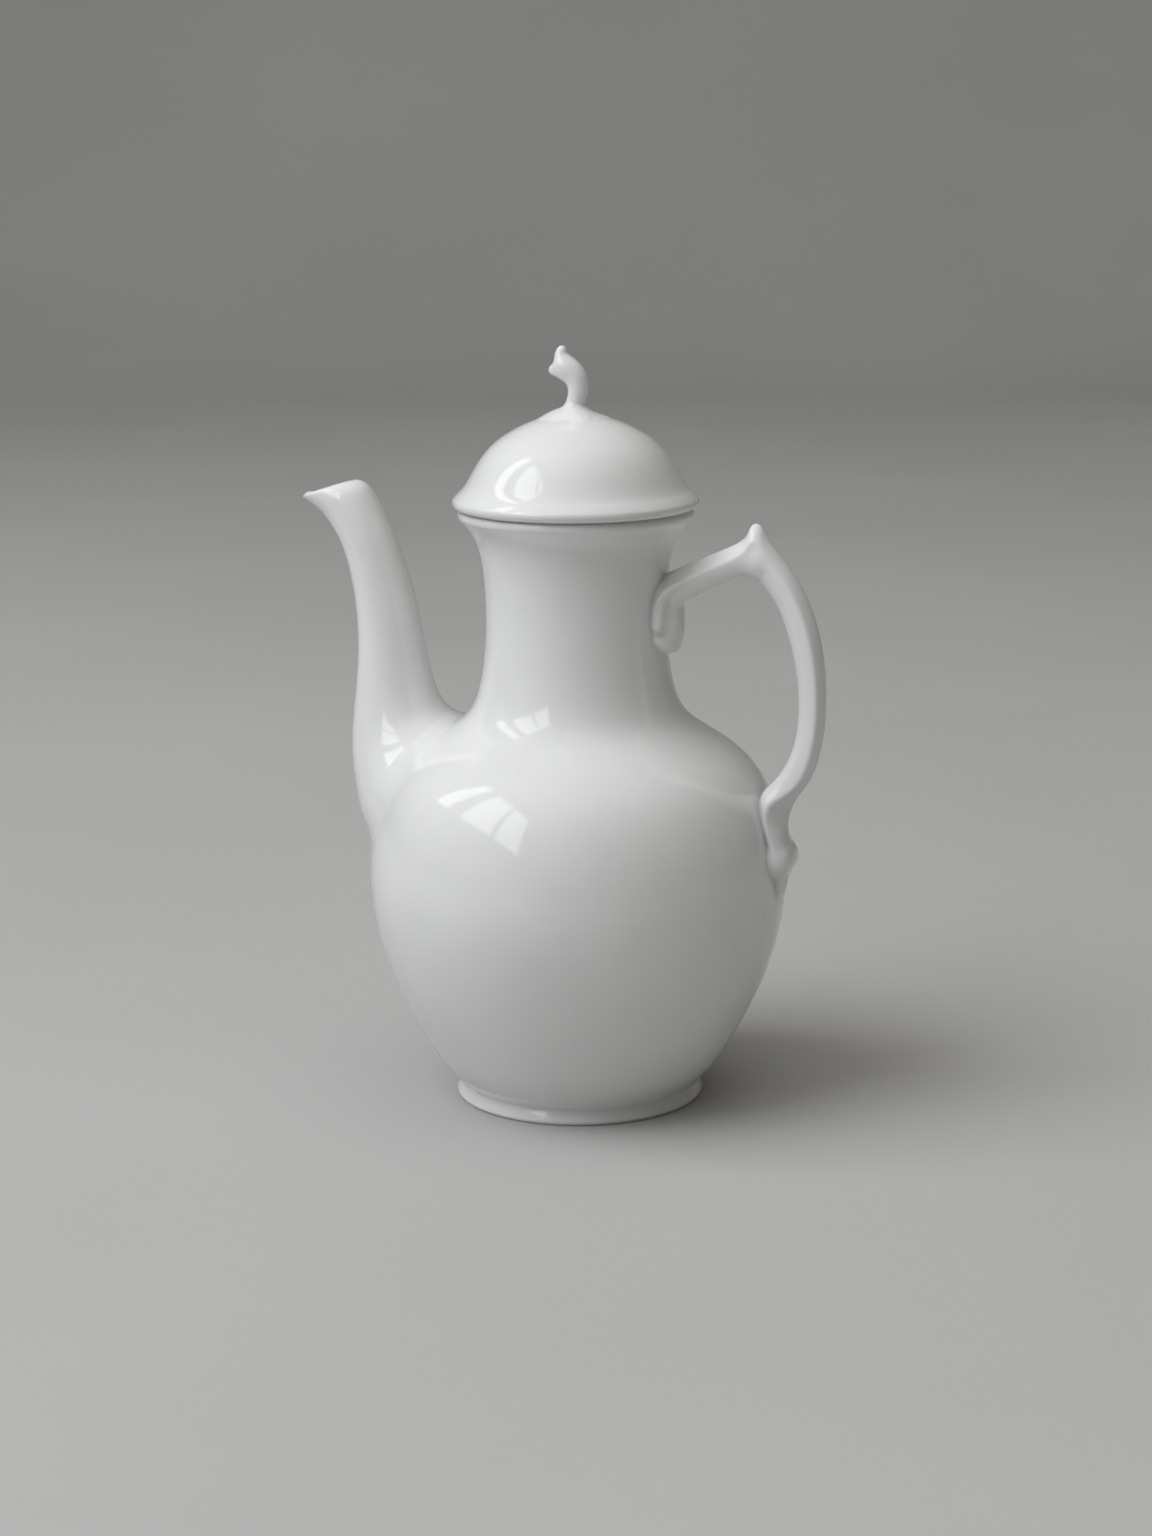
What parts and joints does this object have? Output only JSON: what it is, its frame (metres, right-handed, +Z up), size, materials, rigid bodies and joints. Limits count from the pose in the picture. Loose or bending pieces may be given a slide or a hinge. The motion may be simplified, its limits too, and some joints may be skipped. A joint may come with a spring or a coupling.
{
  "type": "coffee pot",
  "caption": "Tall porcelain coffee pot: pear-shaped body on a low foot, swan-neck spout, scrolled strap handle with a thumb spur, and a lift-off domed lid with a twig knob.",
  "frame": {"origin": "centre of the foot ring's resting face, on the axis of the body", "axes": "+Z up along the body's axis, -X towards the spout's mouth, +X towards the handle"},
  "size_m": [0.1814, 0.1384, 0.2495],
  "materials": {
    "glazed_porcelain": "clear gloss glaze over white porcelain, with an unglazed ring where the foot rests"
  },
  "bodies": {
    "pot": {"body_shell": "glazed_porcelain", "foot_ring": "glazed_porcelain", "spout_lower": "glazed_porcelain", "spout_upper": "glazed_porcelain", "handle_loop": "glazed_porcelain", "handle_upper_scroll": "glazed_porcelain", "handle_lower_scroll": "glazed_porcelain", "handle_bead": "glazed_porcelain", "handle_drop": "glazed_porcelain"},
    "lid": {"lid_dome": "glazed_porcelain", "lid_flange": "glazed_porcelain", "knob_twig": "glazed_porcelain", "knob_shoot": "glazed_porcelain", "knob_stub": "glazed_porcelain", "knob_leaves": "glazed_porcelain"}
  },
  "joints": [
    {"name": "lid_lift", "type": "slide", "parent": "pot", "child": "lid", "axis": [0, 0, 1], "range_m": [0, 0.08]}
  ]
}
